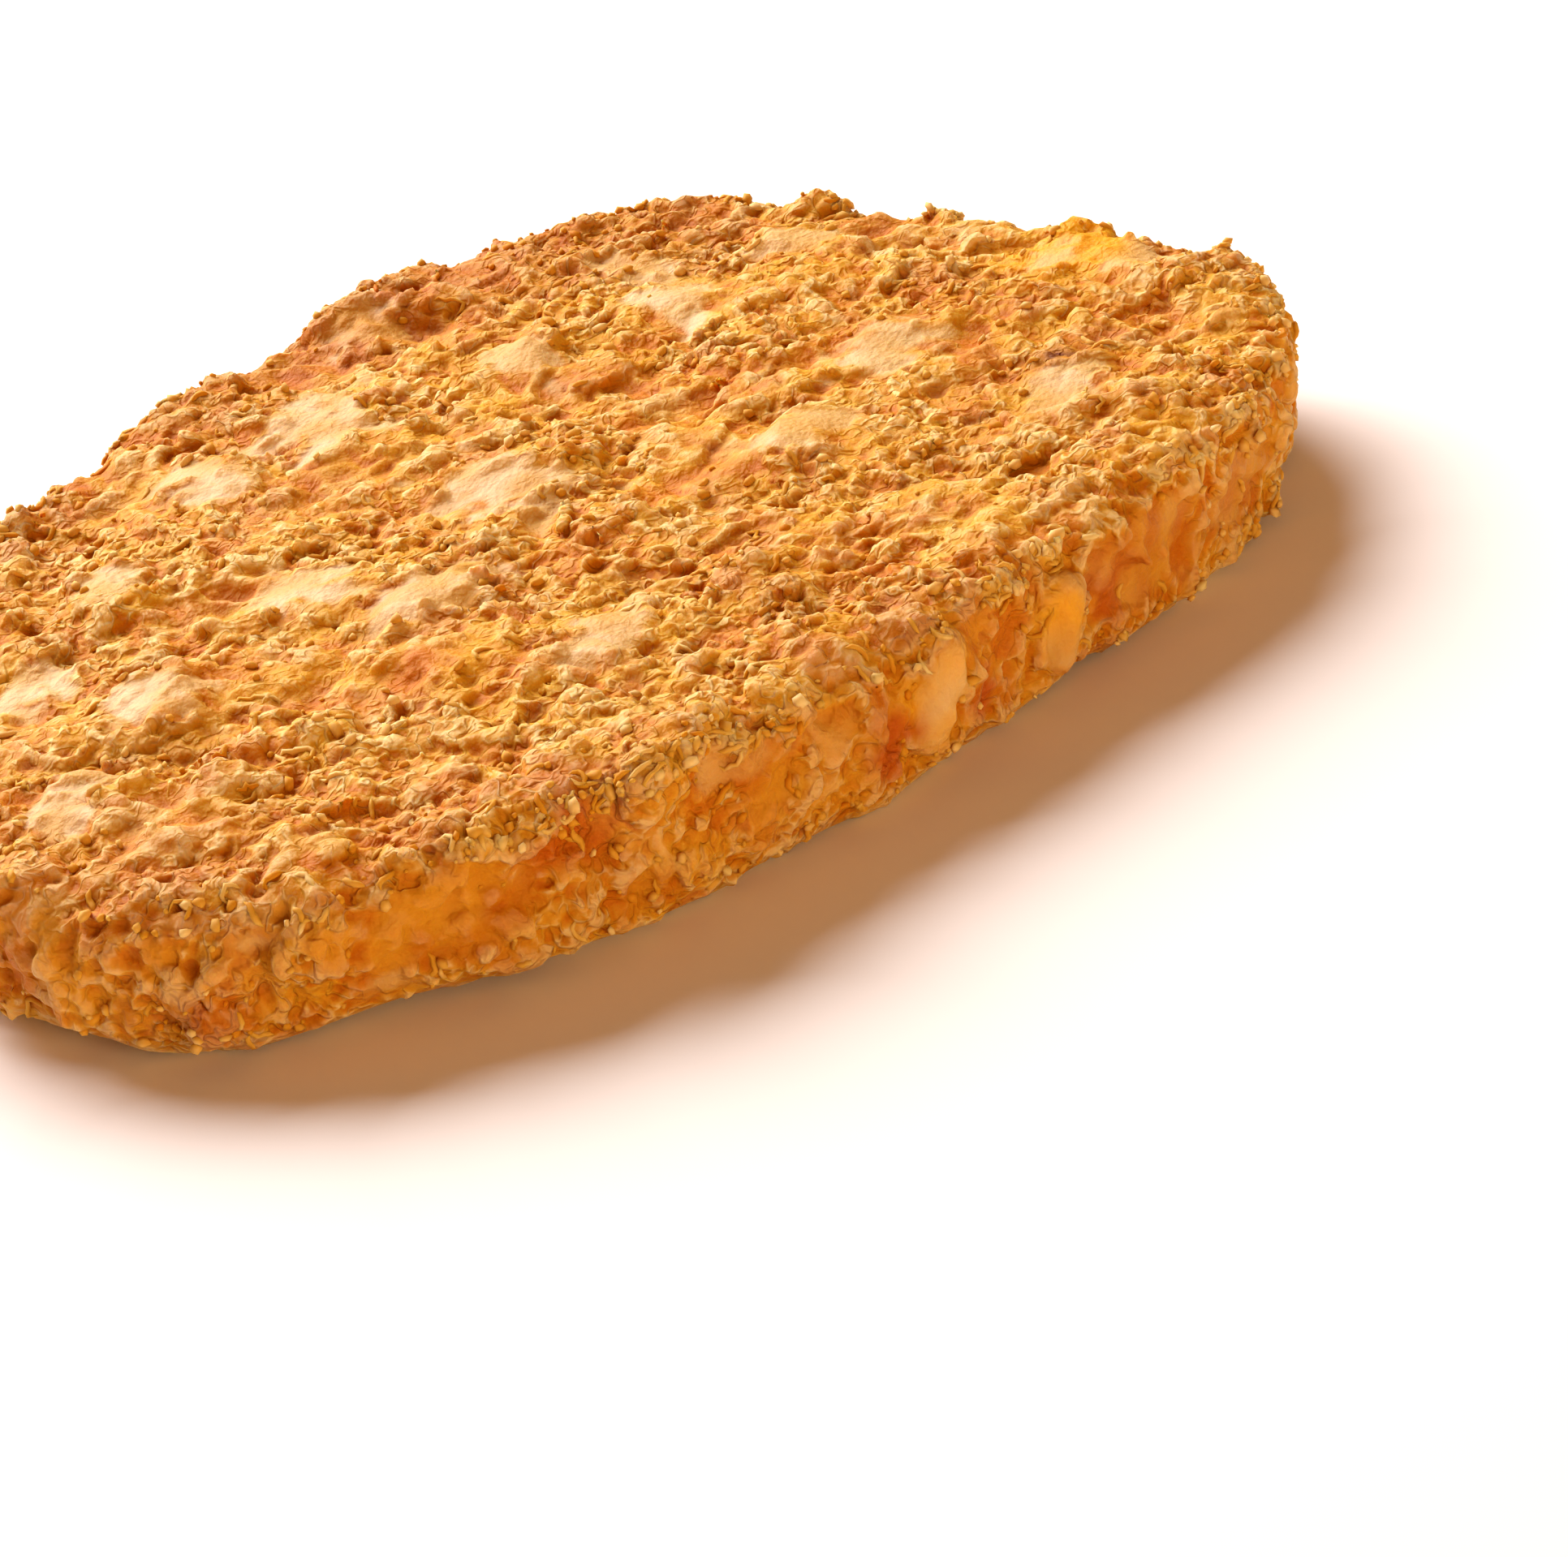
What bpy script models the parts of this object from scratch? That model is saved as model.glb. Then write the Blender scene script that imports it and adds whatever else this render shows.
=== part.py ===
"""Potato rosti: one fried oval patty of shredded potato, lying flat on its base.

Sizes are in millimetres and the finished solid is scaled to metres at the end. X runs along the
patty, Y across it and Z up. The origin is the middle of the footprint, on the resting plane.
"""

import math
import random

import bmesh
import bpy
from mathutils import Matrix, Vector, noise
from mathutils.bvhtree import BVHTree

# Driving sizes of the patty, over its crust
LENGTH = 105.6
WIDTH = 78.0
THICKNESS = 12.2

# How far the crust's crags stand out from the body below them
CRUST_DEPTH = 0.6

# The hand-pressed outline against an ellipse: waves round the rim as (count, cosine, sine)
LOBES = ((3, -0.061, -0.012), (4, -0.039, 0.017), (5, -0.011, -0.001))

# The patty's section: rounded edges, and a wall that leans in towards the base
TOP_EDGE_RADIUS = 2.6
BASE_EDGE_RADIUS = 2.2
WALL_LEAN = 1.3
CROWN = 0.35

# The body's mesh: cuts along each edge of the cube that it is mapped from, and the base's part
BODY_CUTS = 18
BASE_DETAIL = 0.4

# Relief of the body as (size of a wave, height) pairs, and the pressed-in gaps between shreds
WAVES = ((17.0, 0.55), (7.0, 0.6), (4.2, 0.7))
SHRED_CELL = 8.5
GAP_DEPTH = 1.0
GAP_WIDTH = 0.3

# The base is pressed flat by the pan: how much of the underside's relief is cut away
PAN_CUT = 0.1
FLAT_SPOT_RADIUS = 7.0

# One strand of shredded potato
SHRED_WIDTH = 2.9
SHRED_THICKNESS = 1.7

# Potato flakes that lie bare on the top: x, y, length, width, turn in degrees, how proud
TOP_FLAKES = (
    (31.0, 10.0, 8.5, 6.5, 60, 0.75),
    (36.5, 17.0, 9.0, 6.5, 80, 0.6),
    (8.5, 24.0, 13.0, 10.0, 50, 0.85),
    (-1.5, 25.5, 9.0, 6.5, 62, 0.7),
    (-17.0, 20.0, 8.5, 5.5, 30, 0.7),
    (-13.5, 7.0, 9.5, 7.0, 80, 0.6),
    (-12.0, -2.5, 10.5, 6.0, -10, 0.95),
    (3.0, 3.0, 14.0, 10.0, 70, 1.0),
    (20.5, 15.5, 9.0, 5.0, 65, 0.8),
    (29.0, -9.0, 11.5, 7.0, 20, 0.85),
    (15.5, -12.0, 9.5, 6.0, 15, 0.65),
    (45.8, -14.5, 10.5, 7.0, 75, 1.0),
    (-41.0, 2.5, 8.0, 5.5, 40, 0.7),
    (-29.5, 5.5, 8.0, 6.0, 85, 0.75),
    (-14.0, -17.0, 9.0, 6.5, 10, 0.7),
    (25.0, -25.0, 11.0, 6.0, 5, 0.65),
    (-23.5, -29.5, 9.5, 4.6, 15, 1.2),
    (22.5, 31.0, 8.0, 5.0, 60, 0.65),
    (-29.2, 16.0, 7.0, 5.5, 60, 0.95),
    (43.0, 8.0, 7.5, 4.5, 100, 0.7),
)

# Strands on the wall: bearing in degrees, middle height, length, lean from upright, how proud
WALL_SHREDS = (
    (261.5, 5.6, 8.4, 18, 1.35),
    (274.0, 6.4, 7.4, 12, 0.95),
    (288.0, 6.2, 8.6, -6, 0.9),
    (241.5, 6.6, 7.6, 4, 0.85),
    (225.5, 5.4, 7.2, -14, 0.8),
    (200.0, 5.6, 7.0, 10, 0.85),
    (186.0, 6.2, 7.6, -8, 0.85),
)

# Broad smooth flakes pressed into the wall: bearing, height, length, width, turn, how proud
WALL_FLAKES = (
    (217.5, 5.6, 13.0, 6.6, 0, 0.85),
    (207.5, 7.4, 6.0, 5.2, 0, 0.9),
    (234.0, 4.6, 8.0, 5.0, 20, 0.8),
    (251.0, 7.6, 5.6, 4.0, -30, 0.9),
    (302.0, 6.0, 9.0, 5.4, 8, 0.8),
    (330.0, 6.0, 8.0, 5.6, -15, 0.8),
)

# Pieces placed by chance, the same on each run
SEED = 47
LOOSE_SHREDS_ON_TOP = 9
LOOSE_SHREDS_ON_WALL = 11
RIM_CRAGS = 30
FLAKE_TILT = 7.0
SHRED_TILT = 5.0


def footprint(bearing):
    """Return the outline, before scaling, at a bearing in radians."""
    swell = 1.0
    for count, cosine, sine in LOBES:
        swell += cosine * math.cos(count * bearing) + sine * math.sin(count * bearing)
    return LENGTH * math.cos(bearing) * swell, WIDTH * math.sin(bearing) * swell


def footprint_fit():
    """Return the scale and shift that give the outline its length and width about the origin."""
    steps = 720
    points = [footprint(2 * math.pi * i / steps) for i in range(steps)]
    fit = []
    for axis, size in enumerate((LENGTH, WIDTH)):
        low = min(point[axis] for point in points)
        high = max(point[axis] for point in points)
        scale = (size - 2 * CRUST_DEPTH) / (high - low)
        fit.append((scale, -scale * (high + low) / 2))
    return fit


OUTLINE_FIT = footprint_fit()
MEAN_RADIUS = math.sqrt(LENGTH * WIDTH) / 2


def rim_point(bearing, share=1.0):
    """Return x and y on the outline, or at a share of the way out to it."""
    raw = footprint(bearing)
    return [share * scale * value + shift for value, (scale, shift) in zip(raw, OUTLINE_FIT)]


def arc(centre_radius, centre_height, radius, start, end, steps=6):
    """Return points of a rounded edge of the section, with angles in degrees from outward."""
    points = []
    for i in range(steps + 1):
        angle = math.radians(start + (end - start) * i / steps)
        points.append((centre_radius + radius * math.cos(angle),
                       centre_height + radius * math.sin(angle)))
    return points


def section():
    """Return the half section as (radius, height) from the middle of the top to that of the base."""
    top = THICKNESS - CRUST_DEPTH
    points = [(0.0, top + CROWN)]
    points += arc(MEAN_RADIUS - TOP_EDGE_RADIUS, top - TOP_EDGE_RADIUS, TOP_EDGE_RADIUS, 90, 0)
    base_edge = MEAN_RADIUS - WALL_LEAN - BASE_EDGE_RADIUS
    points += arc(base_edge, BASE_EDGE_RADIUS, BASE_EDGE_RADIUS, 0, -90)
    points.append((0.0, 0.0))
    return points


def area_table(points):
    """Return the section in short steps, each with the share of the mesh above it.

    The mesh is even over the top and the wall, and coarser over the base.
    """
    fine = []
    for (r0, z0), (r1, z1) in zip(points, points[1:]):
        steps = max(2, math.ceil(math.hypot(r1 - r0, z1 - z0)))
        fine += [(r0 + (r1 - r0) * i / steps, z0 + (z1 - z0) * i / steps) for i in range(steps)]
    fine.append(points[-1])
    shares = [0.0]
    for (r0, z0), (r1, z1) in zip(fine, fine[1:]):
        detail = BASE_DETAIL if r1 < r0 else 1.0
        shares.append(shares[-1] + detail * (r0 + r1) * math.hypot(r1 - r0, z1 - z0))
    return fine, [share / shares[-1] for share in shares]


def section_at(share, fine, shares):
    """Return the radius and height that have this share of the mesh above them."""
    for i in range(1, len(shares)):
        if share <= shares[i]:
            part = (share - shares[i - 1]) / (shares[i] - shares[i - 1])
            return [a + (b - a) * part for a, b in zip(fine[i - 1], fine[i])]
    return fine[-1]


def relief(point):
    """Return how far the crust rises or sinks at a point of the smooth body."""
    height = 0.0
    for size, depth in WAVES:
        height += depth * noise.noise(point / size)
    warp = noise.noise_vector(point / 9.0) * 2.6
    squeeze = Vector((0.62, 1.0, 0.75))
    cell = (point + warp) * squeeze / SHRED_CELL
    distances, _ = noise.voronoi(cell)
    gap = max(0.0, 1.0 - (distances[1] - distances[0]) / GAP_WIDTH)
    height -= GAP_DEPTH * gap * gap
    return height


def body_mesh():
    """Return the bare patty: an even sphere mapped onto its section and outline, with relief."""
    mesh = bmesh.new()
    bmesh.ops.create_cube(mesh, size=2.0)
    bmesh.ops.subdivide_edges(mesh, edges=mesh.edges[:], cuts=BODY_CUTS, use_grid_fill=True)
    fine, shares = area_table(section())
    for vertex in mesh.verts:
        even = Vector([math.tan(value * math.pi / 4) for value in vertex.co]).normalized()
        radius, height = section_at((1.0 - even.z) / 2, fine, shares)
        bearing = math.atan2(even.y, even.x)
        x, y = rim_point(bearing, radius / MEAN_RADIUS)
        vertex.co = (x, y, height)
    bmesh.ops.recalc_face_normals(mesh, faces=mesh.faces[:])
    mesh.normal_update()
    moves = [relief(vertex.co) for vertex in mesh.verts]
    for vertex, move in zip(mesh.verts, moves):
        below = vertex.normal.z < -0.5
        flat_spot = below and vertex.co.xy.length < FLAT_SPOT_RADIUS
        vertex.co += vertex.normal * (CRUST_DEPTH * 0.5 if flat_spot else move)
    bmesh.ops.triangulate(mesh, faces=mesh.faces[:])
    return mesh


def rings_mesh(rings, first, last):
    """Return a closed body through rings of points, closed by a point at each end."""
    mesh = bmesh.new()
    rows = [[mesh.verts.new(point) for point in ring] for ring in rings]
    count = len(rows[0])
    for low, high in zip(rows, rows[1:]):
        for i in range(count):
            j = (i + 1) % count
            mesh.faces.new((low[i], low[j], high[j]))
            mesh.faces.new((low[i], high[j], high[i]))
    start = mesh.verts.new(first)
    end = mesh.verts.new(last)
    for i in range(count):
        j = (i + 1) % count
        mesh.faces.new((start, rows[0][j], rows[0][i]))
        mesh.faces.new((end, rows[-1][i], rows[-1][j]))
    bmesh.ops.recalc_face_normals(mesh, faces=mesh.faces[:])
    return mesh


def flake_mesh(length, width, thickness, rng, sides=9):
    """Return a flat potato flake with an uneven, rounded edge."""
    reach = [1.0 + rng.uniform(-0.24, 0.16) for _ in range(sides)]
    rings = []
    for share, level in ((0.8, -0.5), (1.0, 0.1), (0.78, 0.42)):
        ring = []
        for i in range(sides):
            angle = 2 * math.pi * i / sides
            ring.append((reach[i] * share * length / 2 * math.cos(angle),
                         reach[i] * share * width / 2 * math.sin(angle),
                         thickness * level))
        rings.append(ring)
    return rings_mesh(rings, (0, 0, -thickness / 2), (0, 0, thickness / 2))


def shred_mesh(length, rng, stations=5, sides=6):
    """Return one strand of shredded potato, bent along its length and thinner at its ends."""
    bend = rng.uniform(-0.12, 0.12)
    rings = []
    for k in range(stations):
        along = 2 * k / (stations - 1) - 1
        girth = 1.0 - 0.42 * along ** 4
        middle = (length / 2 * along * 0.94, bend * length * (1 - along * along), 0.0)
        ring = []
        for i in range(sides):
            angle = 2 * math.pi * (i + 0.5) / sides
            ring.append((middle[0],
                         middle[1] + girth * SHRED_WIDTH / 2 * math.cos(angle),
                         middle[2] + girth * SHRED_THICKNESS / 2 * math.sin(angle)))
        rings.append(ring)
    return rings_mesh(rings, (-length / 2, 0, 0), (length / 2, 0, 0))


def crag_mesh(size, rng):
    """Return one rough crumb of crust."""
    mesh = bmesh.new()
    bmesh.ops.create_icosphere(mesh, subdivisions=1, radius=size / 2)
    for vertex in mesh.verts:
        vertex.co *= rng.uniform(0.8, 1.25)
        vertex.co.z *= 0.8
    return mesh


def tilted(normal, degrees, rng):
    """Return the normal leaned over by up to some degrees, so that one edge sinks in."""
    lean = math.tan(math.radians(degrees))
    return (normal + Vector([rng.uniform(-lean, lean) for _ in range(3)])).normalized()


def lay(mesh, spot, normal, along, lift):
    """Lay a piece on the crust: its flat side on the surface and its length along a direction."""
    along = (along - normal * along.dot(normal)).normalized()
    across = normal.cross(along)
    turn = Matrix((along, across, normal)).transposed().to_4x4()
    mesh.transform(Matrix.Translation(spot + normal * lift) @ turn)
    return mesh


def heading(degrees):
    """Return the level direction at an angle from +X."""
    return Vector((math.cos(math.radians(degrees)), math.sin(math.radians(degrees)), 0.0))


def lift_for(proud, thickness):
    """Return how high a piece's middle sits for its top to stand proud of the crust."""
    return proud - thickness / 2


def on_top(tree, x, y):
    """Return the crust's point and normal below or above a place of the footprint."""
    spot, normal, _, _ = tree.ray_cast(Vector((x, y, 3 * THICKNESS)), Vector((0, 0, -1)))
    return spot, (normal + Vector((0, 0, 2))).normalized()


def on_wall(tree, bearing, height):
    """Return the wall's point and normal at a bearing in degrees and a height."""
    x, y = rim_point(math.radians(bearing))
    outward = Vector((x, y, 0.0)).normalized()
    start = Vector((x, y, height)) + outward * 12
    spot, normal, _, _ = tree.ray_cast(start, -outward)
    return spot, (normal + outward).normalized()


def upright(normal, lean):
    """Return the direction up the wall, leaned over by some degrees."""
    side = Vector((0, 0, 1)).cross(normal).normalized()
    return Vector((0, 0, 1)) * math.cos(math.radians(lean)) + side * math.sin(math.radians(lean))


def shown_pieces(tree, rng):
    """Return the flakes and strands that are placed one by one."""
    pieces = []
    for x, y, length, width, turn, proud in TOP_FLAKES:
        spot, normal = on_top(tree, x, y)
        thickness = proud + 0.9
        flake = flake_mesh(length, width, thickness, rng)
        pieces.append(lay(flake, spot, tilted(normal, FLAKE_TILT, rng), heading(turn),
                          lift_for(proud, thickness)))
    for bearing, height, length, lean, proud in WALL_SHREDS:
        spot, normal = on_wall(tree, bearing, height)
        shred = shred_mesh(length, rng)
        pieces.append(lay(shred, spot, normal, upright(normal, lean),
                          lift_for(proud, SHRED_THICKNESS)))
    for bearing, height, length, width, turn, proud in WALL_FLAKES:
        spot, normal = on_wall(tree, bearing, height)
        thickness = proud + 1.0
        flake = flake_mesh(length, width, thickness, rng)
        pieces.append(lay(flake, spot, tilted(normal, FLAKE_TILT, rng), upright(normal, 90 + turn),
                          lift_for(proud, thickness)))
    return pieces


def chance_pieces(tree, rng):
    """Return the strands and crumbs of crust that lie where they fell."""
    pieces = []
    for i in range(LOOSE_SHREDS_ON_TOP):
        bearing = 2 * math.pi * (i + rng.random()) / LOOSE_SHREDS_ON_TOP
        share = (0.45, 0.8, 0.66)[i % 3] + rng.uniform(-0.08, 0.08)
        spot, normal = on_top(tree, *rim_point(bearing, share))
        shred = shred_mesh(rng.uniform(7.5, 12.5), rng)
        pieces.append(lay(shred, spot, tilted(normal, SHRED_TILT, rng), heading(rng.uniform(0, 180)),
                          rng.uniform(-0.1, 0.25)))
    for i in range(LOOSE_SHREDS_ON_WALL):
        bearing = -40 + 210 * (i + rng.random()) / LOOSE_SHREDS_ON_WALL
        spot, normal = on_wall(tree, bearing, rng.uniform(4.6, 7.4))
        shred = shred_mesh(rng.uniform(6.0, 9.0), rng)
        lean = rng.choice((-1, 1)) * rng.uniform(0, 50)
        pieces.append(lay(shred, spot, normal, upright(normal, lean), rng.uniform(-0.2, 0.2)))
    for i in range(RIM_CRAGS):
        bearing = 360 * (i + rng.random() * 0.8) / RIM_CRAGS
        height = THICKNESS - CRUST_DEPTH - rng.uniform(1.0, 2.6)
        spot, normal = on_wall(tree, bearing, height)
        crag = crag_mesh(rng.uniform(2.6, 4.4), rng)
        pieces.append(lay(crag, spot, normal, upright(normal, rng.uniform(0, 90)), -0.4))
    return pieces


def mesh_object(name, mesh, collection):
    """Turn a bmesh into a named object in a collection."""
    data = bpy.data.meshes.new(name)
    mesh.to_mesh(data)
    mesh.free()
    item = bpy.data.objects.new(name, data)
    collection.objects.link(item)
    return item


def apply_boolean(item, operation, collection):
    """Join or cut an object with a collection's objects, and take those objects away."""
    modifier = item.modifiers.new("join", "BOOLEAN")
    modifier.operation = operation
    modifier.solver = "EXACT"
    modifier.operand_type = "COLLECTION"
    modifier.collection = collection
    shape = item.evaluated_get(bpy.context.evaluated_depsgraph_get())
    joined = bpy.data.meshes.new_from_object(shape)
    item.modifiers.clear()
    item.data = joined
    for other in list(collection.objects):
        bpy.data.objects.remove(other, do_unlink=True)
    bpy.data.collections.remove(collection)


def new_collection(name):
    """Return a new collection in the scene."""
    collection = bpy.data.collections.new(name)
    bpy.context.scene.collection.children.link(collection)
    return collection


def largest_shell(mesh):
    """Keep the one outer shell, so loose scraps go and sealed hollows fill."""
    unseen = set(mesh.faces)
    shells = []
    while unseen:
        queue = [unseen.pop()]
        shell = set(queue)
        while queue:
            for edge in queue.pop().edges:
                for face in edge.link_faces:
                    if face in unseen:
                        unseen.remove(face)
                        shell.add(face)
                        queue.append(face)
        shells.append(shell)
    keep = max(shells, key=len)
    drop = [face for face in mesh.faces if face not in keep]
    bmesh.ops.delete(mesh, geom=drop, context="FACES")
    print("shells", len(shells), "faces dropped", len(drop))


def tidy(item):
    """Close up the joined mesh: one shell, in triangles, centred over the origin."""
    mesh = bmesh.new()
    mesh.from_mesh(item.data)
    largest_shell(mesh)
    bmesh.ops.triangulate(mesh, faces=mesh.faces[:])
    xs = [vertex.co.x for vertex in mesh.verts]
    ys = [vertex.co.y for vertex in mesh.verts]
    shift = Vector((-(max(xs) + min(xs)) / 2, -(max(ys) + min(ys)) / 2, 0.0))
    bmesh.ops.translate(mesh, verts=mesh.verts[:], vec=shift)
    open_edges = sum(1 for edge in mesh.edges if not edge.is_manifold)
    print("triangles", len(mesh.faces), "open edges", open_edges)
    mesh.to_mesh(item.data)
    mesh.free()


def crust_material():
    """Return the golden fried crust."""
    material = bpy.data.materials.new("fried_potato")
    material.use_nodes = True
    shader = material.node_tree.nodes["Principled BSDF"]
    shader.inputs["Base Color"].default_value = (0.72, 0.33, 0.075, 1.0)
    shader.inputs["Roughness"].default_value = 0.6
    shader.inputs["Metallic"].default_value = 0.0
    return material


def make_rosti():
    """Build the patty with its flakes, strands and crags as one solid."""
    rng = random.Random(SEED)
    body = body_mesh()
    tree = BVHTree.FromBMesh(body)
    rosti = mesh_object("rosti", body, bpy.context.scene.collection)
    crust = new_collection("crust")
    for number, piece in enumerate(shown_pieces(tree, rng) + chance_pieces(tree, rng)):
        mesh_object(f"piece_{number}", piece, crust)
    apply_boolean(rosti, "UNION", crust)

    pan = new_collection("pan")
    block = bmesh.new()
    bmesh.ops.create_cube(block, size=1.0)
    depth = 10.0
    block.transform(Matrix.Translation((0, 0, PAN_CUT - depth / 2))
                    @ Matrix.Diagonal((1.4 * LENGTH, 1.4 * WIDTH, depth, 1.0)))
    mesh_object("pan_face", block, pan)
    apply_boolean(rosti, "DIFFERENCE", pan)

    tidy(rosti)
    to_metres = Matrix.Scale(0.001, 4) @ Matrix.Translation((0, 0, -PAN_CUT))
    rosti.data.transform(to_metres)
    rosti.data.materials.clear()
    rosti.data.materials.append(crust_material())
    rosti.data.shade_smooth()
    rosti.data.set_sharp_from_angle(angle=math.radians(35))
    return rosti


for old in list(bpy.data.objects):
    bpy.data.objects.remove(old, do_unlink=True)
make_rosti()
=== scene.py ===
# %% [markdown]
# # A fried potato rosti
# A rosti is a patty of shredded potato, pressed by hand and fried. Its looks come from three
# things: pale bare flakes of potato, a rough crust of crisp crumbs and threads between them, and
# light that sinks in and comes out amber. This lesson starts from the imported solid, which has the
# right outline, thickness and lumps, and lays those finer things over it.

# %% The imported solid
import math
import random
from types import SimpleNamespace

import bmesh
import bpy
import numpy as np
from mathutils import Matrix, Vector, noise
from mathutils.bvhtree import BVHTree


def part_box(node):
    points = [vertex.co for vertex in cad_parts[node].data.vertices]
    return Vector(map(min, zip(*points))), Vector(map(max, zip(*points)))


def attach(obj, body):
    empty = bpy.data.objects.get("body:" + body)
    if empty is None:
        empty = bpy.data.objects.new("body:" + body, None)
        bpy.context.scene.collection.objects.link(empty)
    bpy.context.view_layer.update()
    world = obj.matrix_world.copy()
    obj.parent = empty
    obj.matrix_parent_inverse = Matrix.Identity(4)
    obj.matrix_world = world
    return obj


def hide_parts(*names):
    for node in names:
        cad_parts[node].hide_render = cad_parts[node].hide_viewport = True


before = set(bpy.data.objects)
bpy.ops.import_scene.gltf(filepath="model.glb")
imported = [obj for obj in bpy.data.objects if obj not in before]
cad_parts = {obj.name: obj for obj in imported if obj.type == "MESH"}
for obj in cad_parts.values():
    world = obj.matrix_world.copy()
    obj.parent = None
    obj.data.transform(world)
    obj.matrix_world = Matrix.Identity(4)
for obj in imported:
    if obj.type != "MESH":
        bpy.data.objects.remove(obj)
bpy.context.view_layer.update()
MM = 0.001
CRAG_RISE = 1.0  # how far the solid's crags stand over its top face, in millimetres
LOWEST = 0.02  # the crust's points go no lower than this, in millimetres
LOW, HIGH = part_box("rosti")
TOP = HIGH.z / MM - CRAG_RISE
print("solid, mm:", [round(size / MM, 1) for size in HIGH - LOW], "top face at", round(TOP, 1))

# %% [markdown]
# ## The camera
# The picture was taken close up with a long lens, and the patty runs uphill to the right. That
# could be done by propping the patty up. Here the camera is rolled about its line of sight
# instead, because the patty has to lie flat on its base.

# %% Camera
CAMERA_PLACE = (-257.3, -233.9, 158.7)
CAMERA_AIM = (-26.9, -40.1, 12.2)
CAMERA_ROLL = -11.0
CAMERA_LENS = 135.4


def aimed_camera(name, place, aim, roll, lens):
    """Return a camera at a place, turned to an aim point and rolled, all in millimetres."""
    camera = bpy.data.objects.new(name, bpy.data.cameras.new(name))
    bpy.context.scene.collection.objects.link(camera)
    place = Vector(place) * MM
    sight = Vector(aim) * MM - place
    turn = sight.to_track_quat("-Z", "Y").to_matrix().to_4x4()
    camera.matrix_world = Matrix.Translation(place) @ turn @ Matrix.Rotation(math.radians(roll), 4, "Z")
    camera.data.lens = lens
    camera.data.sensor_width = 36.0
    camera.data.clip_start = 0.01
    camera.data.clip_end = 20.0
    return camera


bpy.context.scene.camera = aimed_camera("camera", CAMERA_PLACE, CAMERA_AIM, CAMERA_ROLL, CAMERA_LENS)
bpy.context.scene.view_settings.view_transform = "Standard"
print("camera aimed")

# %% [markdown]
# ## Shader maths
# The crust's colour is worked out at each point from many small patterns. Its nodes could be placed
# and linked one by one, but arithmetic is easier to read. This small class wraps one output of a
# node, so that `1 - mask` or `a * b` adds the Math node that does it. Anything else is added by
# `add`, which takes the node's type, its settings and what goes into its sockets.


# %% Wrapped sockets
MIRROR_LEVEL = 0.13  # a dry crust mirrors little light
MIRROR_TINT = (1.0, 0.78, 0.45, 1.0)  # and what it mirrors is warm


class Wire:
    """One output in a material, with Python's operators adding Math nodes."""

    def __init__(self, graph, socket):
        self.graph = graph
        self.socket = socket

    def math(self, operation, *others, clamp=False):
        values = dict(enumerate((self, *others)))
        return self.graph.add("ShaderNodeMath", {"operation": operation, "use_clamp": clamp}, values)

    def __add__(self, other):
        return self.math("ADD", other)

    def __mul__(self, other):
        return self.math("MULTIPLY", other)

    def __sub__(self, other):
        return self.math("SUBTRACT", other)

    def __rsub__(self, other):
        return (self * -1.0).math("ADD", other)

    __radd__ = __add__
    __rmul__ = __mul__

    def between(self, low, high):
        """Return 0 below low and 1 above high, with a smooth rise between them."""
        settings = {"interpolation_type": "SMOOTHSTEP"}
        return self.graph.add("ShaderNodeMapRange", settings, {"Value": self, 1: low, 2: high})


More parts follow.
